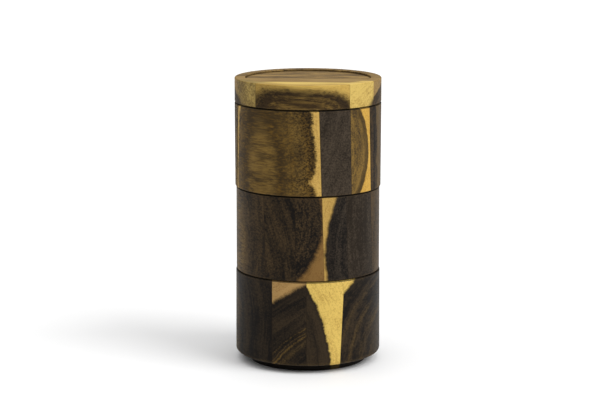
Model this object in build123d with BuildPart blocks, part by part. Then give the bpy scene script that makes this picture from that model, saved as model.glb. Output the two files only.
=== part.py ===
"""A tower of three turned wooden bowls under a lid, 90 mm across and 176 mm high.

Each bowl has a spigot foot that drops into the mouth of the bowl below, and the lid has the same spigot, so every
tier lifts straight off and turns freely on the one under it. Bowls and lid are turned from edge-glued blocks, so each
is made here as its separate strips of wood, with the glue planes where the block was joined. A silicone ring sits in
a groove round each spigot that enters a mouth.

Frame: +Z up, origin at the middle of the foot's underside, front towards -Y. Millimetres and degrees.
"""
import os
from math import cos, radians, sin

from build123d import *

# Heights
bowl_height = 52.0  # shoulder to rim
lid_height = 15.3  # shoulder to rim
spigot_height = 5.0  # shoulder down to the foot's underside
floor_thickness = 5.0  # bowl floor above the shoulder
recess_depth = 1.2  # dished top of the lid

# Radii
mouth_radius = 37.0
spigot_radius = 36.5
recess_radius = 38.5
shoulder_radius = 41.5  # outer edge of the ring on which a tier rests
lid_radius = 45.0

# Outer radius of each bowl, as (at the shoulder, at the rim): each was turned on its own, and they differ a little
bottom_radii = (44.85, 44.6)
middle_radii = (44.3, 44.2)
top_radii = (44.85, 45.0)

# Edges and the shadow line at each seam
seam_gap = 0.5
seam_edge = 0.6
base_edge = 2.0
rim_inner_edge = 0.5
recess_edge = 0.4
spigot_edge = 0.7
floor_corner = 6.0

# Seal ring and its groove
groove_radius = 35.6
groove_top = -1.4
groove_bottom = -3.8
seal_inner_radius = 35.7
seal_outer_radius = 36.95
seal_axial_play = 0.1
seal_edge = 0.4

# Where each tier's shoulder stands
bottom_z = spigot_height
middle_z = bottom_z + bowl_height
top_z = middle_z + bowl_height
lid_z = top_z + bowl_height

# Glue planes, as (distance from the axis at mid height, lean from upright)
bottom_joints = [(-21.8, 0.0), (-1.0, 0.0), (20.6, -2.6)]
middle_joints = [(-32.1, 1.0), (-15.2, 0.4), (1.4, 1.7), (16.8, 1.9), (34.4, 1.9)]
top_joints = [(-39.4, 1.7), (-27.5, 1.5), (-9.5, 1.4), (7.4, 2.4), (25.6, 1.7)]
lid_joints = [(-35.0, 0.0), (-17.8, 0.0), (-0.9, 0.0), (16.4, 0.0), (33.8, 0.0)]

# Direction in which each block's grain runs, turned from the front (-Y) towards +X
bottom_grain = 0.0
middle_grain = 10.0
top_grain = 47.0
lid_grain = 84.5


def corner(sketch, radius, height):
    """The profile's vertex at this radius and height."""
    return sketch.vertices().sort_by_distance((radius, height))[0]


def spigot_outline(grooved):
    """Profile points of the spigot, from the axis up to the shoulder, which is at height 0."""
    points = [(0, -spigot_height), (spigot_radius, -spigot_height)]
    if grooved:
        points += [
            (spigot_radius, groove_bottom),
            (groove_radius, groove_bottom),
            (groove_radius, groove_top),
            (spigot_radius, groove_top),
        ]
    return points + [(spigot_radius, 0)]


def shoulder_outline(radius, seated):
    """Profile points of the shoulder: a seated tier rests on its inner ring and leaves a shadow line outside it."""
    if seated:
        return [(shoulder_radius, 0), (shoulder_radius, seam_gap), (radius, seam_gap)]
    return [(radius, 0)]


def make_bowl(base_z, radii, lower_edge, seated):
    """One bowl, turned whole. A seated bowl has the seal groove and the shadow line."""
    lower_radius, upper_radius = radii
    lower_z = seam_gap if seated else 0
    with BuildPart() as bowl:
        with BuildSketch(Plane.XZ) as profile:
            with BuildLine():
                Polyline(
                    *spigot_outline(grooved=seated),
                    *shoulder_outline(lower_radius, seated),
                    (upper_radius, bowl_height),
                    (mouth_radius, bowl_height),
                    (mouth_radius, floor_thickness),
                    (0, floor_thickness),
                    close=True,
                )
            make_face()
            fillet(corner(profile, mouth_radius, floor_thickness), floor_corner)
            fillet(corner(profile, upper_radius, bowl_height), seam_edge)
            fillet(corner(profile, mouth_radius, bowl_height), rim_inner_edge)
            fillet(corner(profile, lower_radius, lower_z), lower_edge)
            fillet(corner(profile, spigot_radius, -spigot_height), spigot_edge)
        revolve(axis=Axis.Z)
    return bowl.part.moved(Location((0, 0, base_z)))


def make_lid():
    """The lid, turned whole: a dished top above the same spigot as the bowls."""
    with BuildPart() as lid:
        with BuildSketch(Plane.XZ) as profile:
            with BuildLine():
                Polyline(
                    *spigot_outline(grooved=True),
                    *shoulder_outline(lid_radius, seated=True),
                    (lid_radius, lid_height),
                    (recess_radius, lid_height),
                    (recess_radius, lid_height - recess_depth),
                    (0, lid_height - recess_depth),
                    close=True,
                )
            make_face()
            fillet(corner(profile, lid_radius, lid_height), seam_edge)
            fillet(corner(profile, lid_radius, seam_gap), seam_edge)
            fillet(corner(profile, recess_radius, lid_height), recess_edge)
            fillet(corner(profile, spigot_radius, -spigot_height), spigot_edge)
        revolve(axis=Axis.Z)
    return lid.part.moved(Location((0, 0, lid_z)))


def glue_plane(grain, joint, middle):
    """The plane of one glue line. Its normal lies across the grain, and leans by the joint's own angle."""
    distance, lean = joint
    across = Vector(cos(radians(grain)), sin(radians(grain)), 0)
    normal = across * cos(radians(lean)) + Vector(0, 0, sin(radians(lean)))
    return Plane(origin=across * distance + Vector(0, 0, middle), z_dir=normal)


def write_strips(name, turned, grain, joints, middle):
    """Cuts a turned block at its glue planes and writes each strip, numbered across the grain."""
    planes = [glue_plane(grain, joint, middle) for joint in joints]
    for number, (before, after) in enumerate(zip([None] + planes, planes + [None]), start=1):
        with BuildPart() as strip:
            add(turned)
            if before:
                split(bisect_by=before, keep=Keep.TOP)
            if after:
                split(bisect_by=after, keep=Keep.BOTTOM)
        strip.part.label = f"{name}_strip_{number}"
        export_step(strip.part, f"parts/{strip.part.label}.step")


def write_seal(name, shoulder_z):
    """The silicone ring in the groove of the spigot whose shoulder is at this height."""
    height = groove_top - groove_bottom - 2 * seal_axial_play
    with BuildPart() as seal:
        with BuildSketch(Plane.XY.offset(shoulder_z + groove_bottom + seal_axial_play)):
            Circle(seal_outer_radius)
            Circle(seal_inner_radius, mode=Mode.SUBTRACT)
        extrude(amount=height)
        fillet(seal.edges().filter_by(GeomType.CIRCLE), seal_edge)
    seal.part.label = f"{name}_seal"
    export_step(seal.part, f"parts/{seal.part.label}.step")


os.makedirs("parts", exist_ok=True)

bottom_bowl = make_bowl(bottom_z, bottom_radii, lower_edge=base_edge, seated=False)
middle_bowl = make_bowl(middle_z, middle_radii, lower_edge=seam_edge, seated=True)
top_bowl = make_bowl(top_z, top_radii, lower_edge=seam_edge, seated=True)

write_strips("bottom_bowl", bottom_bowl, bottom_grain, bottom_joints, bottom_z + bowl_height / 2)
write_strips("middle_bowl", middle_bowl, middle_grain, middle_joints, middle_z + bowl_height / 2)
write_strips("top_bowl", top_bowl, top_grain, top_joints, top_z + bowl_height / 2)
write_strips("lid", make_lid(), lid_grain, lid_joints, lid_z + lid_height / 2)

write_seal("middle", middle_z)
write_seal("top", top_z)
write_seal("lid", lid_z)
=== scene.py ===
"""Looks of a stacking canister: three bowls and a lid of edge-glued acacia, with silicone seal rings.

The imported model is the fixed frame. Every board and every seal is built again here at the frame's size, with
a finer mesh and its own wood or silicone. Lengths are in millimetres until MM turns them into metres.
"""

from math import cos, radians, sin, tau
from typing import NamedTuple

import bmesh
import bpy
from mathutils import Euler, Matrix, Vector


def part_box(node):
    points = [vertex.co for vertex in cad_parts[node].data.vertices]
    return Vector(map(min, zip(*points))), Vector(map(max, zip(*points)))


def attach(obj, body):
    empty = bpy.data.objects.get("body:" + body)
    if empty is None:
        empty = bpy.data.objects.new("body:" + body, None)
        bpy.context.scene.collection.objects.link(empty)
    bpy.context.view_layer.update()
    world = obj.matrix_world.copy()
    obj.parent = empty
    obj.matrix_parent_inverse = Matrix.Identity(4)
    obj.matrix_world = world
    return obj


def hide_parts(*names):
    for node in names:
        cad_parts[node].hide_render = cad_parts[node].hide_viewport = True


MM = 0.001
SPIN_STEPS = 192
ROUND_STEPS = 5
WELD = 1e-6  # metres between vertices that are the same
CUT_WELD = 1e-8
CREASE = 32.0  # degrees between faces that meet in a sharp edge

# The turned shape that all tiers share
SPIGOT_HEIGHT = 5.0
SPIGOT_RADIUS = 36.5
SHOULDER_RADIUS = 41.5
SEAM_GAP = 0.5
MOUTH_RADIUS = 37.0
BOWL_HEIGHT = 52.0
FLOOR_THICKNESS = 5.0
FLOOR_CORNER = 6.0
LID_HEIGHT = 15.3
LID_RADIUS = 45.0
RECESS_RADIUS = 38.5
RECESS_DEPTH = 1.2
GROOVE_RADIUS = 35.6
GROOVE_TOP = -1.4
GROOVE_BOTTOM = -3.8
SEAM_EDGE = 0.6
BASE_EDGE = 2.0
RIM_INNER_EDGE = 0.5
RECESS_EDGE = 0.4
SPIGOT_EDGE = 0.7

# The seal rings
SEAL_INNER_RADIUS = 35.7
LIP_DEPTH = 0.45
MILKY = (0.74, 0.75, 0.72)
CLOUDED = (0.84, 0.85, 0.83)

# Colours of heartwood, as linear light
EBONY = (0.0062, 0.0048, 0.0038)
UMBER = (0.0170, 0.0118, 0.0072)
COCOA = (0.034, 0.0195, 0.0068)
CHESTNUT = (0.034, 0.0205, 0.0070)
BARK_BROWN = (0.036, 0.024, 0.0125)
ASH_BROWN = (0.066, 0.049, 0.033)
WALNUT = (0.080, 0.050, 0.022)
AMBER = (0.205, 0.109, 0.015)
HONEY = (0.203, 0.122, 0.030)
GOLD = (0.340, 0.215, 0.070)

# Colours of sapwood
TAWNY = (0.105, 0.068, 0.026)
RUSSET = (0.215, 0.118, 0.035)
BRONZE = (0.300, 0.195, 0.070)
TAN = (0.420, 0.260, 0.095)
BRASS = (0.500, 0.330, 0.080)
OCHRE = (0.500, 0.320, 0.085)
CREAM = (0.560, 0.360, 0.095)
SAFFRON = (0.600, 0.360, 0.070)
BUTTER = (0.600, 0.430, 0.120)
STRAW = (0.700, 0.495, 0.125)

# Colours of what is in and on the wood
PORE = (0.006, 0.004, 0.003)
GLUE = (0.018, 0.011, 0.006)
END_SHADE = (0.40, 0.36, 0.32)
DEEP_SAPWOOD = (0.50, 0.42, 0.34)  # the darkest sapwood, as a share of its pale colour

# Directions in the block, where across the grain is X and along it is Y
ALONG = (0.0, 1.0, 0.0)
UPWARD = (0.0, 0.0, 1.0)


class Board(NamedTuple):
    """How one board was sawn from its log, seen on its end grain at the front of the tower. Lengths in mm."""

    pith: tuple  # the log's centre, (across the grain from the tower's axis, up from the tier's shoulder)
    heart: float  # radius of the dark heartwood round the pith
    dark: tuple = EBONY
    light: tuple = BARK_BROWN
    pale: tuple = STRAW  # sapwood outside the heartwood
    tone: float = 0.5  # from dark to light
    bands: float = 0.6  # contrast of the growth rings
    figure: float = 0.3  # contrast of the stripes along the grain
    mottle: float = 0.8  # contrast of the fine mottling
    wave: float = 1.0  # how far the heartwood's edge wanders
    teeth: float = 1.0  # length of the fine teeth on that edge
    soft: float = 0.5  # half the width over which that edge blends
    edge: float = 3.0  # width of the darker band just inside the heartwood's edge
    edge_dark: float = 0.5  # strength of that band
    bay: tuple = (0.0, 1.0, 0.0)  # height, half width and depth of a bay of sapwood in that edge
    pores: float = 0.6  # strength of the open pores
    specks: float = 0.0  # strength of the black specks that crowd the heartwood's edge
    streaks: tuple = ()  # growth bands that stand out: (radius, half width, strength), below 0 is darker
    stain: tuple = (0.0, 1.0, 0.0)  # along the board, where browning starts and is full, and its strength
    lean: tuple = (0.6, 1.2)  # degrees by which the log leans from the board's length, up and sideways


class Block(NamedTuple):
    """One tier: the glued block that it was turned from."""

    name: str
    grain: float  # direction of the grain, turned from the front towards +X, in degrees
    joints: tuple  # glue planes, as (distance from the axis at mid height, lean from upright in degrees)
    radii: tuple  # outer radius at the shoulder and at the rim
    boards: tuple
    seated: bool = True  # it stands on another tier, so it has a seal groove and a shadow line
    lid: bool = False
    matched: tuple = ()  # glue planes that hardly show


# The speckled board at the front of the top bowl; the board beside it is much the same
SPECKLED = Board(
    pith=(-429.2, 8),
    heart=400,
    dark=CHESTNUT,
    light=AMBER,
    pale=CREAM,
    tone=0.11,
    bands=0.2,
    figure=0.5,
    mottle=0.28,
    wave=0.5,
    teeth=1.1,
    soft=0.9,
    edge_dark=0.0,
    bay=(9.5, 6.0, 3.0),
    pores=0.1,
    specks=0.85,
    streaks=((384.8, 3.2, 0.8), (393.5, 5.5, 0.5)),
    lean=(0.6, -1.0),
)
STREAKED = SPECKLED._replace(
    heart=392.9,
    bay=(0, 1, 0),
    specks=0.0,
    streaks=((386.6, 1.7, 0.72), (390.8, 3.0, 0.3)),
    lean=(0.6, -3.0),
)

BLOCKS = (
    Block(
        name="bottom_bowl",
        grain=0.0,
        joints=((-21.8, 0.0), (-1.0, 0.0), (20.6, -2.6)),
        radii=(44.85, 44.6),
        seated=False,
        boards=(
            Board(
                pith=(-190, 20),
                heart=260,
                tone=0.26,
                bands=0.6,
                figure=0.2,
                streaks=((146.5, 3.0, 0.25),),
            ),
            Board(
                pith=(50, -58),
                heart=120.4,
                pale=TAN,
                soft=1.7,
                teeth=1.2,
                edge=5,
                streaks=((92.3, 1.1, 0.55), (94.2, 0.6, 0.3), (96.6, 0.8, 0.25), (88.8, 2.5, 0.15)),
            ),
            Board(
                pith=(-87.5, -2.6),
                heart=101.0,
                tone=0.85,
                wave=0.7,
                bands=0.45,
                soft=0.8,
                edge=2.0,
                streaks=((93.7, 0.7, -0.6),),
            ),
            Board(
                pith=(83.7, -4.7),
                heart=79.3,
                tone=0.44,
                bands=0.8,
                soft=1.0,
                streaks=((60, 2.0, 0.14), (67, 1.5, 0.1), (53, 2.5, 0.1)),
            ),
        ),
    ),
    Block(
        name="middle_bowl",
        grain=10.0,
        joints=((-32.1, 1.0), (-15.2, 0.4), (1.4, 1.7), (16.8, 1.9), (34.4, 1.9)),
        radii=(44.3, 44.2),
        boards=(
            Board(
                pith=(-250, 20),
                heart=320,
                dark=UMBER,
                light=WALNUT,
                tone=0.36,
                bands=0.45,
                figure=0.2,
                streaks=((206.0, 3.0, 0.45),),
            ),
            Board(pith=(-190, -10), heart=320, light=WALNUT, tone=0.22, mottle=0.6, bands=0.35, figure=0.15),
            Board(
                pith=(-53.4, 38.4),
                heart=54.6,
                light=WALNUT,
                pale=RUSSET,
                tone=0.09,
                soft=2.0,
                teeth=1.6,
                wave=0.6,
                bands=0.45,
            ),
            Board(
                pith=(85.9, 15.5),
                heart=83.9,
                light=ASH_BROWN,
                pale=OCHRE,
                tone=0.25,
                bands=0.3,
                mottle=0.6,
                teeth=0.6,
                soft=1.2,
            ),
            Board(pith=(190, 40), heart=290, dark=UMBER, light=ASH_BROWN, tone=0.15, bands=0.4),
            Board(pith=(-200, 40), heart=390, dark=UMBER, light=WALNUT, tone=0.6),
        ),
    ),
    Block(
        name="top_bowl",
        grain=47.0,
        joints=((-39.4, 1.7), (-27.5, 1.5), (-9.5, 1.4), (7.4, 2.4), (25.6, 1.7)),
        radii=(44.85, 45.0),
        matched=(-39.4,),
        boards=(
            STREAKED,
            SPECKLED,
            Board(pith=(-300, 120), heart=500, dark=UMBER, light=ASH_BROWN, bands=0.3, mottle=0.9, pores=0.8),
            Board(
                pith=(-40.6, 25.9),
                heart=46.1,
                dark=BARK_BROWN,
                light=HONEY,
                pale=SAFFRON,
                tone=0.65,
                teeth=0.4,
                wave=0.3,
                edge=5.0,
                edge_dark=0.8,
            ),
            Board(
                pith=(-183, 18),
                heart=200,
                light=WALNUT,
                pale=TAWNY,
                tone=0.35,
                soft=1.0,
                bay=(18, 5, 2.0),
            ),
            Board(pith=(-20, 70), heart=90, dark=UMBER, light=WALNUT, tone=0.4),
        ),
    ),
    Block(
        name="lid",
        grain=84.5,
        joints=((-35.0, 0.0), (-17.8, 0.0), (-0.9, 0.0), (16.4, 0.0), (33.8, 0.0)),
        radii=(LID_RADIUS, LID_RADIUS),
        lid=True,
        boards=(
            Board(
                pith=(-46.0, -2.4),
                heart=13.2,
                dark=COCOA,
                light=HONEY,
                pale=BRASS,
                tone=0.04,
                figure=0.2,
                mottle=0.6,
                soft=3.0,
                teeth=1.5,
                wave=0.3,
                edge=7.0,
                edge_dark=0.3,
                specks=0.5,
                stain=(-5, 35, 0.6),
                lean=(-2.6, 0.3),
            ),
            Board(
                pith=(10.6, -33.9),
                heart=47.8,
                dark=BARK_BROWN,
                light=WALNUT,
                pale=BUTTER,
                soft=2.4,
                stain=(16, 32, 0.9),
                lean=(-0.4, -0.8),
            ),
            Board(
                pith=(10.6, -33.9),
                heart=48.2,
                dark=UMBER,
                light=WALNUT,
                pale=BRONZE,
                teeth=0.4,
                figure=0.9,
                lean=(-0.1, -0.1),
            ),
            Board(pith=(5, 90), heart=120, dark=WALNUT, light=GOLD, tone=0.58, figure=0.6),
            Board(pith=(20, -70), heart=100, dark=WALNUT, light=GOLD, tone=0.6, figure=0.6),
            Board(pith=(20, 60), heart=90, dark=WALNUT, light=GOLD, tone=0.6),
        ),
    ),
)


# ---- Shader maths


class Signal:
    """An output of a shader node. Arithmetic on it adds Math nodes to the same material."""

    def __init__(self, tree, socket=None):
        self.tree = tree
        self.socket = socket

    def node(self, kind, inputs=None, output=0, **settings):
        """Adds a node. Its settings come first, then its inputs, each a value or a Signal."""
        made = self.tree.nodes.new(kind)
        for name, value in settings.items():
            setattr(made, name, value)
        for name, value in (inputs or {}).items():
            if isinstance(value, Signal):
                self.tree.links.new(value.socket, made.inputs[name])
            else:
                made.inputs[name].default_value = value
        return Signal(self.tree, made.outputs[output] if made.outputs else None)

    def maths(self, operation, *values):
        return self.node("ShaderNodeMath", dict(enumerate(values)), operation=operation)

    def vector(self, operation, *values, output="Vector"):
        return self.node("ShaderNodeVectorMath", dict(enumerate(values)), output, operation=operation)

    def __add__(self, other):
        return self.maths("ADD", self, other)

    def __radd__(self, other):
        return self.maths("ADD", other, self)

    def __sub__(self, other):
        return self.maths("SUBTRACT", self, other)

    def __mul__(self, other):
        return self.maths("MULTIPLY", self, other)

    def __abs__(self):
        return self.maths("ABSOLUTE", self)

    def larger(self, other):
        return self.maths("MAXIMUM", self, other)

    def smooth(self, start, end):
        """0 at start, 1 at end, and a smooth step between them; start may be above end."""
        inputs = {"Value": self, "From Min": start, "From Max": end}
        return self.node("ShaderNodeMapRange", inputs, interpolation_type="SMOOTHSTEP")

    def within(self, reach):
        """1 up to the first of two distances and 0 from the second on, when this signal is a distance."""
        full, gone = reach
        return self.smooth(gone, full)

    def about_zero(self, low=None, high=None):
        """Noise as a contrast from -0.5 to 0.5, first steepened between low and high if they are given."""
        return (self if low is None else self.smooth(low, high)) - 0.5

    def noise(self, scale, detail=2.0, roughness=0.5):
        """Noise from 0 to 1 at this position; scale is in features to the unit."""
        inputs = {"Vector": self, "Scale": scale, "Detail": detail, "Roughness": roughness}
        return self.node("ShaderNodeTexNoise", inputs)

    def times(self, x, y, z):
        return self.vector("MULTIPLY", self, (x, y, z))

    def dot(self, direction):
        return self.vector("DOT_PRODUCT", self, direction, output="Value")

    def length(self):
        return self.vector("LENGTH", self, output="Value")

    def distance(self, point):
        return self.vector("DISTANCE", self, point, output="Value")

    def mixed(self, colour_a, colour_b, blend_type="MIX"):
        """colour_a where this signal is 0 and colour_b where it is 1."""
        factor, first, second, result = 0, 6, 7, 2  # the colour sockets, among several of the same names
        inputs = {factor: self, first: rgba(colour_a), second: rgba(colour_b)}
        return self.node("ShaderNodeMix", inputs, result, data_type="RGBA", blend_type=blend_type)


def rgba(colour):
    return colour if isinstance(colour, Signal) else (*colour, 1.0)


def new_material(name):
    """An empty material, and a Signal that starts its nodes."""
    material = bpy.data.materials.new(name)
    material.use_nodes = True
    material.node_tree.nodes.clear()
    return material, Signal(material.node_tree)


def surface(start, sockets):
    """Ends a material in a Principled shader with these sockets."""
    shader = start.node("ShaderNodeBsdfPrincipled", sockets)
    start.node("ShaderNodeOutputMaterial", {"Surface": shader})


# ---- Wood

# How far a growth ring strays, and the teeth and fringe at the heartwood's edge
RING_WANDER = 4.0
RING_RIPPLE = 1.6
TOOTH_LENGTH = 2.2
FRINGE_LENGTH = 2.4
WIDEST_SPREAD = 60.0  # radius at which rays stop growing wider

# How far glue, painted shade, wear with a painted highlight, and specks reach. A pair is where one of them is
# full, and where it is gone
GLUE_REACH = (0.06, 0.28)  # from a glue plane
RIM_SHADE_REACH = (0.3, 0.55)  # from a bowl's upper corner
RECESS_SHADE_REACH = (0.25, 0.7)  # from the foot of the lid's recess
SEAM_SHADE_REACH = (0.1, 0.5)  # up from a shadow line
FOOT_SHADE_REACH = (-0.15, 0.15)  # up from the shoulder of the tier that stands on the floor
WEAR_HIGHLIGHT_WIDTH = 0.7  # beyond a rounded corner
SPECK_REACH = 10.5  # from the heartwood's edge


class Grain(NamedTuple):
    """The signals that one board's wood is mixed from. Lengths in mm; contrasts run from -0.5 to 0.5."""

    sawn: Signal  # place in the block: across the grain, along it, and up
    height: Signal  # above the tier's shoulder
    radius: Signal  # from the pith, with the wander of real rings
    fringed: Signal  # the same, with the heartwood's teeth, fringe and bay
    heart: Signal  # 1 in heartwood and 0 in sapwood
    bands: Signal  # contrast of the broad growth rings
    lines: Signal  # contrast of the fine growth rings
    stripes: Signal  # contrast along the grain
    mottle: Signal  # fine contrast
    cloud: Signal  # broad contrast
    wide_pores: Signal  # noise that peaks at the open pores
    fine_pores: Signal  # 1 in the small pores


def turned_place(start, degrees):
    """The object's own place turned about Z, from metres to millimetres."""
    place = start.node("ShaderNodeTexCoord", output="Object")
    turn = Euler((0.0, 0.0, radians(degrees)))
    scale = (1 / MM, 1 / MM, 1 / MM)
    return start.node("ShaderNodeMapping", {"Vector": place, "Rotation": turn, "Scale": scale})


def leant(place, up, sideways):
    """A place leant by these degrees about X, then turned about Z."""
    turn = Euler((radians(up), 0.0, radians(sideways)))
    return place.node("ShaderNodeMapping", {"Vector": place, "Rotation": turn})


def drawn_out(log, share):
    """The log's place with its length shrunk to a share, so that noise there is drawn out along the grain."""
    return log.times(1.0, share, 1.0)


def grain_of(block, board, start):
    """The signals of one board."""
    shoulder = shoulder_of(block)
    across, up = board.pith
    sawn = turned_place(start, -block.grain)
    height = sawn.dot(UPWARD) - shoulder
    log = sawn.vector("SUBTRACT", sawn, (across, -LID_RADIUS, shoulder + up))
    log = leant(log, *board.lean)  # its pith is on Y
    grit = drawn_out(log, 0.1).noise(0.85, 4.0, 0.76)

    # Distance from the pith
    flat = log.times(1.0, 0.0, 1.0)
    wander = drawn_out(log, 0.3).noise(0.045, 1.0).about_zero() * (RING_WANDER * board.wave)
    ripple = drawn_out(log, 0.2).noise(0.25, 2.0).about_zero() * RING_RIPPLE
    radius = flat.length() + wander + ripple

    # The heartwood's edge, with radial teeth, a grainy fringe and a bay
    spread = min(board.heart, WIDEST_SPREAD)
    ray = flat.vector("NORMALIZE", flat).times(spread, spread, spread)
    ray = ray.vector("ADD", ray, log.times(0.0, 0.12, 0.0))
    teeth = ray.noise(0.55, 3.0, 0.65).about_zero() * TOOTH_LENGTH + grit.about_zero() * FRINGE_LENGTH
    fringed = radius + teeth * board.teeth
    bay_height, bay_width, bay_depth = board.bay
    if bay_depth:
        fringed = fringed + abs(height - bay_height).smooth(bay_width, 0.0) * bay_depth

    # Growth rings: noise that changes fast with the radius and slowly round the pith
    arc = {"X": radius, "Y": ray.dot((0.15, 0.4, 0.0)), "Z": ray.dot((0.0, 0.0, 0.15))}
    rings = start.node("ShaderNodeCombineXYZ", arc)

    return Grain(
        sawn=sawn,
        height=height,
        radius=radius,
        fringed=fringed,
        heart=fringed.smooth(board.heart + board.soft, board.heart - board.soft),
        bands=rings.noise(0.2, 2.0, 0.55).about_zero(0.34, 0.66),
        lines=rings.noise(0.95, 3.0, 0.65).about_zero(0.32, 0.68),
        stripes=drawn_out(log, 0.03).noise(1.2, 3.0, 0.68).about_zero(0.32, 0.68),
        mottle=grit.about_zero(0.28, 0.72),
        cloud=drawn_out(log, 0.3).noise(0.09, 2.0).about_zero(),
        wide_pores=drawn_out(log, 0.06).noise(1.4, 1.0),
        fine_pores=drawn_out(log, 0.08).noise(2.6, 1.0).smooth(0.62, 0.74),
    )


def heartwood(board, grain):
    """Rings, stripes and mottling from dark to light, with the streaks and the dark band at the edge."""
    tone = grain.bands * board.bands + grain.lines * (0.7 * board.bands) + grain.stripes * board.figure
    tone = tone + grain.mottle * board.mottle + grain.cloud * 0.6 + board.tone
    colour = tone.mixed(board.dark, board.light)
    for radius, half_width, strength in board.streaks:
        streak = abs(grain.radius - radius).smooth(half_width, 0.0)
        streak = streak * (0.65 + grain.mottle * 1.2 + grain.cloud * 2.5)
        colour = (streak * abs(strength)).mixed(colour, HONEY if strength > 0 else EBONY)
    if board.edge_dark:
        band = grain.fringed.smooth(board.heart - board.edge, board.heart - 0.4 * board.edge)
        colour = (band * (0.7 + grain.cloud) * board.edge_dark).mixed(colour, EBONY)
    return colour


def sapwood(board, grain):
    """Pale wood with faint rings and mottling, browned towards one end where the board is stained."""
    deep = tuple(level * share for level, share in zip(board.pale, DEEP_SAPWOOD))
    tone = grain.lines * 0.38 + grain.stripes * (0.3 + 0.5 * board.figure)
    tone = tone + grain.mottle * 0.65 + grain.cloud * 0.9 + 0.17
    colour = tone.mixed(board.pale, deep)
    start, end, strength = board.stain
    if strength:
        stain = grain.sawn.dot(ALONG).smooth(start, end) * (0.8 + grain.mottle * 0.5 + grain.cloud)
        colour = (stain * strength).mixed(colour, board.light)
    return colour


def pores_of(board, grain):
    """Open pores, dots on end grain and dashes on face grain, and the specks that crowd the edge."""
    pores = grain.wide_pores.smooth(0.66, 0.74).larger(grain.fine_pores * 0.6)
    pores = pores * (grain.heart * 0.75 + 0.25) * board.pores
    if board.specks:
        near = abs(grain.fringed - board.heart).within((0.0, SPECK_REACH))
        specks = (grain.wide_pores + near * 0.07).smooth(0.56, 0.66) * near.smooth(0.0, 0.4)
        specks = specks * grain.fringed.smooth(board.heart + 1.0, board.heart)
        pores = pores.larger(specks * board.specks)
    return pores


def glued(block, number, grain, colour):
    """The colour with the glue lines at the board's sides, which show less on sapwood."""
    middle = shoulder_of(block) + tier_height(block) / 2
    for distance, lean in block.joints[max(number - 1, 0) : number + 1]:
        if distance not in block.matched:
            normal = Vector((cos(radians(lean)), 0.0, sin(radians(lean))))
            gap = abs(grain.sawn.dot(normal) - normal.dot((distance, 0.0, middle)))
            colour = (gap.within(GLUE_REACH) * (grain.heart * 0.5 + 0.2)).mixed(colour, GLUE)
    return colour


def wear_and_painted_light(block, grain, colour):
    """The colour with faintly lighter arrises, partly wear and partly a painted highlight, and painted shade
    at the seams, the foot and the dished top.
    """
    turned = grain.sawn.times(1.0, 1.0, 0.0)
    outline = turned.node("ShaderNodeCombineXYZ", {"X": turned.length(), "Y": grain.height})
    # Lighter rounded corners: partly real wear, partly a painted highlight where light catches the arrises
    for radius, height, size in outline_of(block)[1]:
        gap = outline.distance((radius, height, 0.0))
        wear_and_highlight = gap.within((0.4 * size, size + WEAR_HIGHLIGHT_WIDTH)) * (0.06 + grain.mottle * 0.12)
        colour = wear_and_highlight.mixed(colour, GOLD, blend_type="LIGHTEN")
    # Painted shade: near-black where shade falls in the seam gap, under the foot, on a bowl's rim below the
    # next tier and in the lid's recess
    if block.seated:
        painted_shade = grain.height.within([SEAM_GAP + reach for reach in SEAM_SHADE_REACH])
    else:
        painted_shade = grain.height.within(FOOT_SHADE_REACH)
    if block.lid:
        gap = outline.distance((RECESS_RADIUS, LID_HEIGHT - RECESS_DEPTH, 0.0))
        painted_shade = painted_shade.larger(gap.within(RECESS_SHADE_REACH) * 0.6)
    else:
        gap = outline.distance((block.radii[1], BOWL_HEIGHT, 0.0))
        painted_shade = painted_shade.larger(gap.within(RIM_SHADE_REACH))
    return (painted_shade * 0.92).mixed(colour, EBONY)


def wood(block, number):
    """Acacia, as a solid pattern through one board."""
    board = block.boards[number]
    material, start = new_material(f"{block.name}_wood_{number + 1}")
    grain = grain_of(block, board, start)
    pores = pores_of(board, grain)
    colour = grain.heart.mixed(sapwood(board, grain), heartwood(board, grain))
    colour = (pores * 0.8).mixed(colour, PORE)
    colour = glued(block, number, grain, colour)
    colour = wear_and_painted_light(block, grain, colour)

    # End grain drinks the oil and is darker
    along = (sin(radians(block.grain)), -cos(radians(block.grain)), 0.0)
    end_grain = abs(start.node("ShaderNodeTexCoord", output="Normal").dot(along)).smooth(0.25, 1.0)
    colour = (end_grain * 0.2).mixed(colour, END_SHADE, blend_type="MULTIPLY")

    roughness = 0.5 + pores * 0.25 + end_grain * 0.06 + grain.stripes * 0.08
    relief = grain.stripes * 0.4 + grain.lines * 0.3 + grain.mottle * 0.3 - pores
    bump = start.node("ShaderNodeBump", {"Strength": 0.3, "Distance": 0.05 * MM, "Height": relief})
    finish = {"Base Color": colour, "Roughness": roughness, "Normal": bump, "Specular IOR Level": 0.08}
    surface(start, finish)
    return material


def silicone():
    """Milky silicone with a fine moulded surface."""
    material, start = new_material("seal_silicone")
    place = start.node("ShaderNodeTexCoord", output="Object")
    cloud = place.noise(180.0, 3.0)
    colour = cloud.mixed(MILKY, CLOUDED)
    roughness = 0.32 + cloud * 0.16
    grit = place.noise(5200.0, 2.0)
    bump = start.node("ShaderNodeBump", {"Strength": 0.2, "Distance": 0.02 * MM, "Height": grit})
    surface(start, {"Base Color": colour, "Roughness": roughness, "Normal": bump})
    return material


# ---- Turned shapes


def shoulder_of(block):
    """Height of the tier's shoulder above the floor, from a board that reaches its spigot's foot."""
    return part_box(f"{block.name}_strip_3")[0].z / MM + SPIGOT_HEIGHT


def tier_height(block):
    return LID_HEIGHT if block.lid else BOWL_HEIGHT


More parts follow.
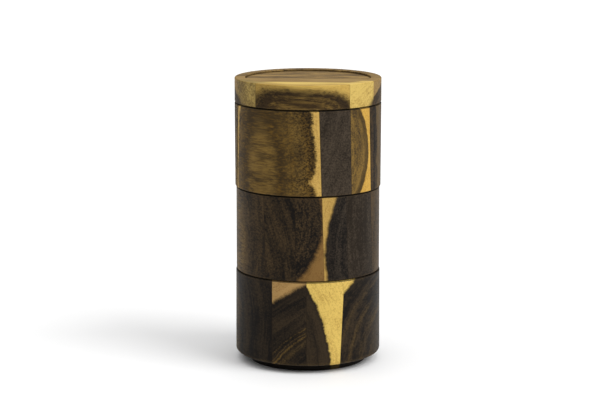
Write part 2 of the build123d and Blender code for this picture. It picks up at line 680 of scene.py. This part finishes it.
def outline_of(block):
    """The tier's outline from the foot's middle round to the middle of its top, as (radius, height) points,
    and the corners to round, as (radius, height, size)."""
    lower, upper = block.radii
    points = [(0, -SPIGOT_HEIGHT), (SPIGOT_RADIUS, -SPIGOT_HEIGHT)]
    rounds = [(SPIGOT_RADIUS, -SPIGOT_HEIGHT, SPIGOT_EDGE)]
    if block.seated:
        points += [(SPIGOT_RADIUS, GROOVE_BOTTOM), (GROOVE_RADIUS, GROOVE_BOTTOM)]
        points += [(GROOVE_RADIUS, GROOVE_TOP), (SPIGOT_RADIUS, GROOVE_TOP), (SPIGOT_RADIUS, 0)]
        points += [(SHOULDER_RADIUS, 0), (SHOULDER_RADIUS, SEAM_GAP), (lower, SEAM_GAP)]
        rounds += [(lower, SEAM_GAP, SEAM_EDGE)]
    else:
        points += [(SPIGOT_RADIUS, 0), (lower, 0)]
        rounds += [(lower, 0, BASE_EDGE)]
    if block.lid:
        floor = LID_HEIGHT - RECESS_DEPTH
        points += [(upper, LID_HEIGHT), (RECESS_RADIUS, LID_HEIGHT), (RECESS_RADIUS, floor), (0, floor)]
        rounds += [(upper, LID_HEIGHT, SEAM_EDGE), (RECESS_RADIUS, LID_HEIGHT, RECESS_EDGE)]
    else:
        points += [(upper, BOWL_HEIGHT), (MOUTH_RADIUS, BOWL_HEIGHT)]
        points += [(MOUTH_RADIUS, FLOOR_THICKNESS), (0, FLOOR_THICKNESS)]
        rounds += [(upper, BOWL_HEIGHT, SEAM_EDGE), (MOUTH_RADIUS, BOWL_HEIGHT, RIM_INNER_EDGE)]
        rounds += [(MOUTH_RADIUS, FLOOR_THICKNESS, FLOOR_CORNER)]
    return points, rounds


def spun(points, rounds, base):
    """Spins an outline once round the Z axis, with its heights above base, and rounds its corners."""
    bm = bmesh.new()
    corners = [bm.verts.new(Vector((radius, 0.0, base + height)) * MM) for radius, height in points]
    edges = [bm.edges.new(pair) for pair in zip(corners, corners[1:])]
    bmesh.ops.spin(
        bm,
        geom=corners + edges,
        axis=(0, 0, 1),
        cent=(0, 0, 0),
        angle=tau,
        steps=SPIN_STEPS,
        use_merge=True,
    )
    bmesh.ops.remove_doubles(bm, verts=bm.verts, dist=WELD)
    for radius, height, size in rounds:
        ring = [edge for edge in bm.edges if all(at(vertex, radius, base + height) for vertex in edge.verts)]
        bmesh.ops.bevel(
            bm,
            geom=ring,
            offset=size * MM,
            segments=ROUND_STEPS,
            profile=0.5,
            affect="EDGES",
            material=-1,
        )
    bmesh.ops.recalc_face_normals(bm, faces=bm.faces)
    return bm


def at(vertex, radius, height):
    """Whether a vertex lies on the ring at this radius and height."""
    return abs(vertex.co.xy.length - radius * MM) < WELD and abs(vertex.co.z - height * MM) < WELD


def cut(bm, point, normal):
    """Removes what lies on the normal's side of a plane, and closes the cut."""
    everything = bm.verts[:] + bm.edges[:] + bm.faces[:]
    made = bmesh.ops.bisect_plane(
        bm,
        geom=everything,
        dist=CUT_WELD,
        plane_co=point,
        plane_no=normal,
        clear_outer=True,
    )
    rim = [item for item in made["geom_cut"] if isinstance(item, bmesh.types.BMEdge)]
    bmesh.ops.edgeloop_fill(bm, edges=rim)


def piece_from(bm, name, material):
    """Makes the object of a finished bmesh, smooth on its rounds and crisp on its corners."""
    bmesh.ops.recalc_face_normals(bm, faces=bm.faces)
    mesh = bpy.data.meshes.new(name)
    bm.to_mesh(mesh)
    bm.free()
    mesh.shade_smooth()
    mesh.set_sharp_from_angle(angle=radians(CREASE))
    mesh.materials.append(material)
    piece = bpy.data.objects.new(name, mesh)
    bpy.context.scene.collection.objects.link(piece)
    piece.modifiers.new("even_normals", "WEIGHTED_NORMAL").keep_sharp = True
    return piece


def glue_plane(block, joint):
    """A point on a glue plane and its normal, in metres."""
    distance, lean = joint
    grain = radians(block.grain)
    across = Vector((cos(grain), sin(grain), 0.0))
    point = across * distance + Vector((0.0, 0.0, shoulder_of(block) + tier_height(block) / 2))
    return point * MM, across * cos(radians(lean)) + Vector((0.0, 0.0, sin(radians(lean))))


def make_tier(block):
    """Turns a tier and saws it at its glue planes into boards that stand for the frame's strips."""
    turned = spun(*outline_of(block), shoulder_of(block))
    planes = [glue_plane(block, joint) for joint in block.joints]
    for number, (before, after) in enumerate(zip([None, *planes], [*planes, None])):
        board = turned.copy()
        if before:
            cut(board, before[0], -before[1])
        if after:
            cut(board, *after)
        node = f"{block.name}_strip_{number + 1}"
        piece = piece_from(board, f"{block.name}_board_{number + 1}", wood(block, number))
        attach(piece, block.name)
        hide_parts(node)
    turned.free()


# ---- Seals


def make_seal(tier):
    """A ring with two sealing lips, in the groove of a tier's spigot."""
    node = f"{tier}_seal"
    low, high = (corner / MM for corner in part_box(node))
    outer, waist = high.x, high.x - LIP_DEPTH
    lips = [(0.0, waist), (0.14, outer), (0.34, outer), (0.5, waist)]
    lips += [(0.66, outer), (0.86, outer), (1.0, waist)]
    height = high.z - low.z
    points = [(radius, share * height) for share, radius in lips]
    points = [(SEAL_INNER_RADIUS, 0.0), *points, (SEAL_INNER_RADIUS, height), (SEAL_INNER_RADIUS, 0.0)]
    piece = piece_from(spun(points, [], low.z), f"{tier}_seal_ring", seal_material)
    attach(piece, node)
    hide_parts(node)


# ---- Floor, light and camera

FLOOR_SIZE = 9.0  # metres from its middle to its sides
FLOOR_WHITE = (0.9, 0.9, 0.9)
KEY_FROM = (1.0, -0.55, 0.95)
FRONT = (0.25, -0.95, 0.0)


def make_floor():
    """A plain pale floor that fills the view."""
    bm = bmesh.new()
    bmesh.ops.create_grid(bm, x_segments=1, y_segments=1, size=FLOOR_SIZE)
    material, start = new_material("floor_white")
    surface(start, {"Base Color": rgba(FLOOR_WHITE), "Roughness": 0.6})
    mesh = bpy.data.meshes.new("floor")
    bm.to_mesh(mesh)
    bm.free()
    mesh.materials.append(material)
    floor = bpy.data.objects.new("floor", mesh)
    bpy.context.scene.collection.objects.link(floor)


def make_light():
    """A white tent, brightest overhead, with a soft key from the right that leaves a shadow."""
    world = bpy.data.worlds.new("studio")
    world.use_nodes = True
    world.node_tree.nodes.clear()
    start = Signal(world.node_tree)
    towards = start.node("ShaderNodeTexCoord", output="Generated")
    overhead = towards.dot(UPWARD).smooth(0.1, 0.95)
    front = towards.dot(FRONT).smooth(-0.4, 0.9)
    background = start.node("ShaderNodeBackground", {"Strength": 0.17 + overhead * 1.45 + front * 0.1})
    start.node("ShaderNodeOutputWorld", {"Surface": background})
    bpy.context.scene.world = world

    sun = bpy.data.lights.new("key", "SUN")
    sun.angle = radians(40.0)
    sun.energy = 1.9
    lamp = bpy.data.objects.new("key", sun)
    lamp.rotation_euler = Vector(KEY_FROM).to_track_quat("Z", "Y").to_euler()
    bpy.context.scene.collection.objects.link(lamp)
    bpy.context.scene.view_settings.view_transform = "Standard"


def make_camera():
    """A long lens, a little above the lid and looking slightly down."""
    looking_down = 10.61  # degrees
    camera = bpy.data.cameras.new("camera")
    camera.lens = 117.15
    camera.sensor_width = 36.0
    viewer = bpy.data.objects.new("camera", camera)
    viewer.location = (-0.0049, -1.1889, 0.3221)
    viewer.rotation_euler = (radians(90.0 - looking_down), 0.0, 0.0)
    bpy.context.scene.collection.objects.link(viewer)
    bpy.context.scene.camera = viewer


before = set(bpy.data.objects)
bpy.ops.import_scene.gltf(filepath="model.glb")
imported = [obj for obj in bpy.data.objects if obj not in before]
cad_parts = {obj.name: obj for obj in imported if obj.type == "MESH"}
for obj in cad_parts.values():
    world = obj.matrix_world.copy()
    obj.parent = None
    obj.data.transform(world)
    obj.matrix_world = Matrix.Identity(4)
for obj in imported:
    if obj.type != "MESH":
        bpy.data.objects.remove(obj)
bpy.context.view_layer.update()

make_camera()
make_light()
make_floor()
for block in BLOCKS:
    make_tier(block)
seal_material = silicone()
for tier in ("middle", "top", "lid"):
    make_seal(tier)
